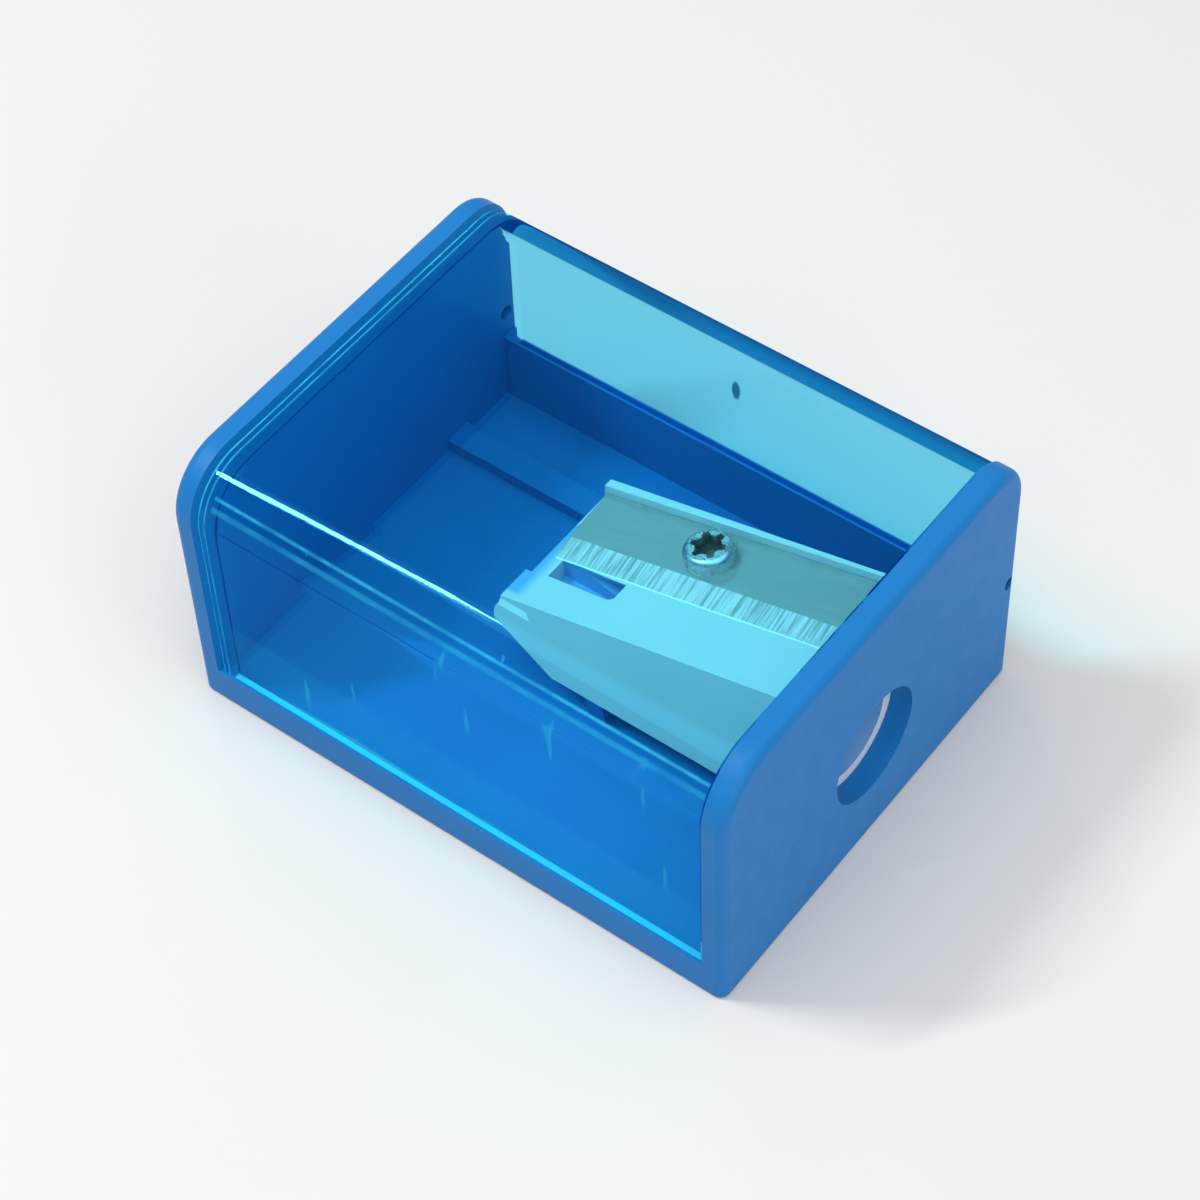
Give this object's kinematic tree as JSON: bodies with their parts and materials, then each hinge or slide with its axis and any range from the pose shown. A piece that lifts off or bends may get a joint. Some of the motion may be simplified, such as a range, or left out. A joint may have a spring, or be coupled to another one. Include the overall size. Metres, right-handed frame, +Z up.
{
  "type": "pencil sharpener",
  "caption": "Hand-held box pencil sharpener: blue tray with end plates, clear blue hinged cover, white wedge sharpener with a screwed steel blade.",
  "frame": {"origin": "middle of the underside", "axes": "+X out of the pencil hole, -Y the front, +Z up"},
  "size_m": [0.0524, 0.04, 0.0266],
  "materials": {
    "tray_plastic": "satin",
    "cover_plastic": "gloss",
    "white_plastic": "satin",
    "blade_steel": "brushed",
    "screw_steel": "satin"
  },
  "bodies": {
    "base": {"tray": "tray_plastic", "sharpener_body": "white_plastic", "blade": "blade_steel", "blade_screw": "screw_steel"},
    "cover": {"hinged_cover": "cover_plastic"}
  },
  "joints": [
    {"name": "cover_hinge", "type": "hinge", "parent": "base", "child": "cover", "pos_m": [0, 0.01895, 0.0118], "axis": [-1, 0, 0], "range_deg": [0, 120]}
  ]
}
